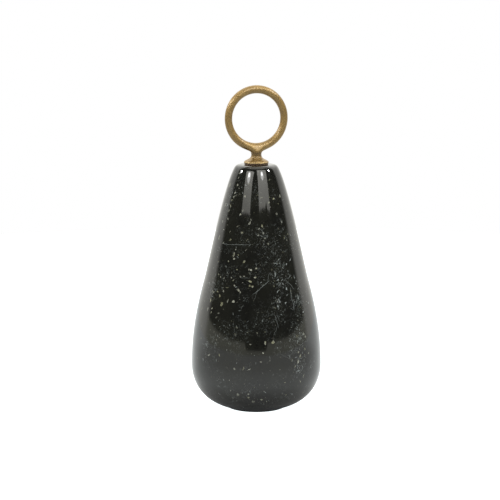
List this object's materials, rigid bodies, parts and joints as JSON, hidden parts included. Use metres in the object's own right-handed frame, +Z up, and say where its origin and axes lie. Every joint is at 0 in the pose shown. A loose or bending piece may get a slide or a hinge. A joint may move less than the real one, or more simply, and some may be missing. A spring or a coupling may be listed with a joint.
{
  "type": "plumb-bob door stop",
  "caption": "Turned black marble door stop in the shape of a plumb bob, lifted by a brass ring that screws into its top, with a felt pad under its foot.",
  "frame": {"origin": "on the surface it stands on, under the middle of the foot", "axes": "+Z up the axis of the turned body, through the ring; the ring lies in the XZ plane, so its eye opens along Y"},
  "size_m": [0.09, 0.09, 0.2224],
  "materials": {
    "black_marble": "polished",
    "aged_brass": "satin",
    "plated_steel": "satin",
    "plain_brass": "satin",
    "cured_adhesive": "gloss",
    "washer_rubber": "matte",
    "felt": "matte"
  },
  "bodies": {
    "weight": {"stone_body": "black_marble", "threaded_insert": "plain_brass", "insert_adhesive": "cured_adhesive", "felt_pad": "felt"},
    "washer": {"flange_washer": "washer_rubber"},
    "handle": {"ring_handle": "aged_brass", "threaded_stud": "plated_steel"}
  },
  "joints": [
    {"name": "handle_lift", "type": "slide", "parent": "weight", "child": "washer", "axis": [0, 0, 1], "range_m": [0, 0.015]},
    {"name": "handle_turn", "type": "hinge", "parent": "washer", "child": "handle", "pos_m": [0, 0, 0.1695], "axis": [0, 0, 1], "range_deg": [0, 5400]}
  ],
  "couplings": [
    {"joint": "handle_lift", "follows": "handle_turn", "m_per_rad": 0.00015915}
  ]
}
